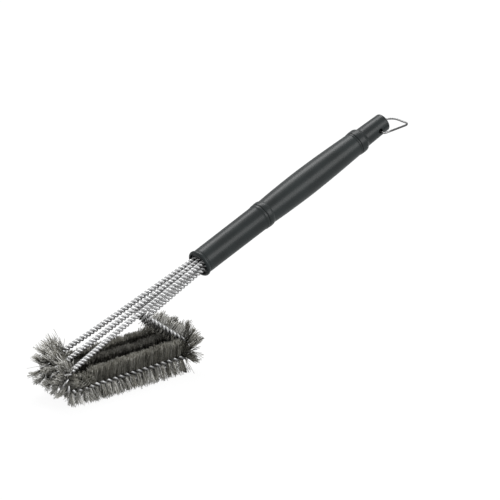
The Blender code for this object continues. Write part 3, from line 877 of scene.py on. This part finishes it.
def moulded_plastic(name, colour, roughness, texture):
    """Black moulded plastic with a fine spark-eroded skin."""
    material, tree, shader = shader_material(name)
    skin = grain(tree, 2.6, 3)
    clouds = grain(tree, 0.05, 3)
    darker = tuple(c * 0.75 for c in colour)
    lighter = tuple(c * 1.3 for c in colour)
    put(tree, shader.inputs["Base Color"], ramp(tree, clouds, (0.3, darker), (0.7, lighter)))
    put(tree, shader.inputs["Roughness"], remap(tree, skin, 0.3, 0.7, roughness - 0.05, roughness + 0.06))
    bump = add(tree, "ShaderNodeBump", {"Strength": texture, "Distance": 0.0001, "Height": skin})
    put(tree, shader.inputs["Normal"], bump.outputs["Normal"])
    shader.inputs["Specular IOR Level"].default_value = 0.38
    return material


def floor_paper(name):
    """White studio paper: it glows to the camera, which softens shadows, and is dim in reflections."""
    material, tree, shader = shader_material(name)
    rays = add(tree, "ShaderNodeLightPath")
    fibres = grain(tree, 0.5, 4)
    paper = ramp(tree, fibres, (0.3, grey(0.93)), (0.7, grey(0.96)))
    reflected = add(tree, "ShaderNodeMix", {"Factor": rays.outputs["Is Glossy Ray"], 6: paper,
                                            7: (*grey(PAPER_REFLECTED), 1)}, data_type="RGBA")
    seen = add(tree, "ShaderNodeMix", {"Factor": rays.outputs["Is Camera Ray"], 6: reflected.outputs[2],
                                       7: (*grey(PAPER_SHADING), 1)}, data_type="RGBA")
    put(tree, shader.inputs["Base Color"], seen.outputs[2])
    shader.inputs["Roughness"].default_value = 0.95
    shader.inputs["Specular IOR Level"].default_value = 0.0
    shader.inputs["Emission Color"].default_value = (1, 1, 1, 1)
    glow = remap(tree, rays.outputs["Is Camera Ray"], 0, 1, 0, PAPER_GLOW)
    put(tree, shader.inputs["Emission Strength"], glow)
    return material


# ---------------------------------------------------------------- studio


def towards(azimuth, elevation):
    """The unit vector to a place round the object: azimuth 0 is at -Y, 90 at +X."""
    a, e = math.radians(azimuth), math.radians(elevation)
    return Vector((math.sin(a) * math.cos(e), -math.cos(a) * math.cos(e), math.sin(e)))


def facing_target(name, data, azimuth, elevation, distance):
    """A camera or light that looks at the target from the given side."""
    obj = bpy.data.objects.new(name, data)
    back = towards(azimuth, elevation)
    obj.location = Vector(CAMERA_TARGET) + back * distance
    obj.rotation_mode = "QUATERNION"
    obj.rotation_quaternion = (-back).to_track_quat("-Z", "Y")
    bpy.context.scene.collection.objects.link(obj)
    return obj


def camera():
    data = bpy.data.cameras.new("camera")
    data.type = "ORTHO"
    data.ortho_scale = VIEW_WIDTH
    data.clip_end = 100
    made = facing_target("camera", data, CAMERA_AZIMUTH, CAMERA_ELEVATION, CAMERA_DISTANCE)
    bpy.context.scene.camera = made


def softbox(name, azimuth, elevation, height, power):
    data = bpy.data.lights.new(name, "AREA")
    data.shape = "RECTANGLE"
    data.size = SOFTBOX_WIDTH
    data.size_y = height
    data.energy = power
    facing_target(name, data, azimuth, elevation, SOFTBOX_DISTANCE)


def world():
    """White to the camera; matt surfaces and reflections get a greyer room."""
    made = bpy.data.worlds.new("studio")
    bpy.context.scene.world = made
    made.use_nodes = True
    tree = made.node_tree
    rays = add(tree, "ShaderNodeLightPath")
    colour = add(tree, "ShaderNodeMix", {"Factor": rays.outputs["Is Glossy Ray"], 6: (*MATT_ROOM, 1),
                                         7: (*MIRRORED_ROOM, 1)}, data_type="RGBA")
    room = add(tree, "ShaderNodeBackground", {"Color": colour.outputs[2], "Strength": 1.0})
    seen = add(tree, "ShaderNodeBackground", {"Color": (1, 1, 1, 1), "Strength": 1.0})
    mix = add(tree, "ShaderNodeMixShader", {0: rays.outputs["Is Camera Ray"], 1: room.outputs[0],
                                            2: seen.outputs[0]})
    tree.links.new(mix.outputs[0], tree.nodes["World Output"].inputs["Surface"])
    made.cycles.sampling_method = "NONE"


def floor(material):
    line = np.linspace(-FLOOR_SIZE / 2, FLOOR_SIZE / 2, FLOOR_TILES + 1)
    x, y = np.meshgrid(line, line, indexing="ij")
    points = np.stack([x.ravel(), y.ravel(), np.zeros(x.size)], -1)
    row, col = np.meshgrid(np.arange(FLOOR_TILES), np.arange(FLOOR_TILES), indexing="ij")
    corner = row * (FLOOR_TILES + 1) + col
    after = corner + FLOOR_TILES + 1
    quads = np.stack([corner, after, after + 1, corner + 1], -1).reshape(-1, 4)
    new_piece("studio_floor", points, [quads], material)


# ---------------------------------------------------------------- the brush


def build_loops():
    rng = np.random.default_rng(SEED)
    steel = wire_steel("twisted_wire", lightest=0.76, darkest=0.54, crevice_grime_and_shade=0.08, roughness=0.34,
                       dimmed_shine=PAINTED_SHADE_SHINE)
    fibre = bristle_steel("bristle_filament")
    for loop in LOOPS:
        path = Path(rod_corners(loop))
        table = twist_table(path)
        strand(loop, "a", path, table, 0, steel)
        strand(loop, "b", path, table, math.pi, steel)
        for place, span in bristle_spans(loop, path).items():
            bristles(loop, place, path, table, span, fibre, rng)


def bristle_spans(loop, path):
    """Where each of a loop's three groups of bristles starts and ends along its path."""
    stem, nose, bed, rear, riser = (path.mark[name] for name in LOOP_MARKS[1:6])
    nose_x, bed_x = (path.at(distance)[0][0] for distance in (nose, bed))
    bed_start, bed_end = (
        nose + (x - nose_x) / (bed_x - nose_x) * (bed - nose) for x in (BED_START_X, BED_END_X)
    )
    riser_end = rear + (riser - rear) * RISER_COVER
    return {
        "nose": (stem - NOSE_LEAD_IN[loop], bed_start),
        "bed": (bed_start, bed_end),
        "riser": (bed_end, riser_end),
    }


def main():
    build_loops()
    plastic = moulded_plastic("handle_black", (0.008, 0.012, 0.0124), roughness=0.36, texture=0.25)
    front_sleeve(plastic)
    grip_body(plastic)
    end_cap(plastic)
    hang_loop(wire_steel("loop_steel", lightest=0.32, darkest=0.26, crevice_grime_and_shade=0.29, roughness=0.3,
                         dimmed_shine=0.3))
    plug = moulded_plastic("plug_black", (0.05, 0.052, 0.054), roughness=0.55, texture=0.3)
    ferrule = wire_steel("ferrule_steel", lightest=0.6, darkest=0.45, crevice_grime_and_shade=0.5, roughness=0.35,
                         dimmed_shine=1)
    for node, material in (("wire_guide_plug", plug), ("crimp_ferrule", ferrule)):
        slots = frame["nodes"][node].data.materials
        slots.clear()
        slots.append(material)
    floor(floor_paper("studio_paper"))
    world()
    camera()
    softbox("front_right_softbox", azimuth=24, elevation=28, height=0.9, power=12)
    softbox("back_softbox", azimuth=152, elevation=58, height=0.7, power=18)
    bpy.context.scene.view_settings.view_transform = "Standard"
    bpy.context.scene.cycles.use_denoising = True


main()
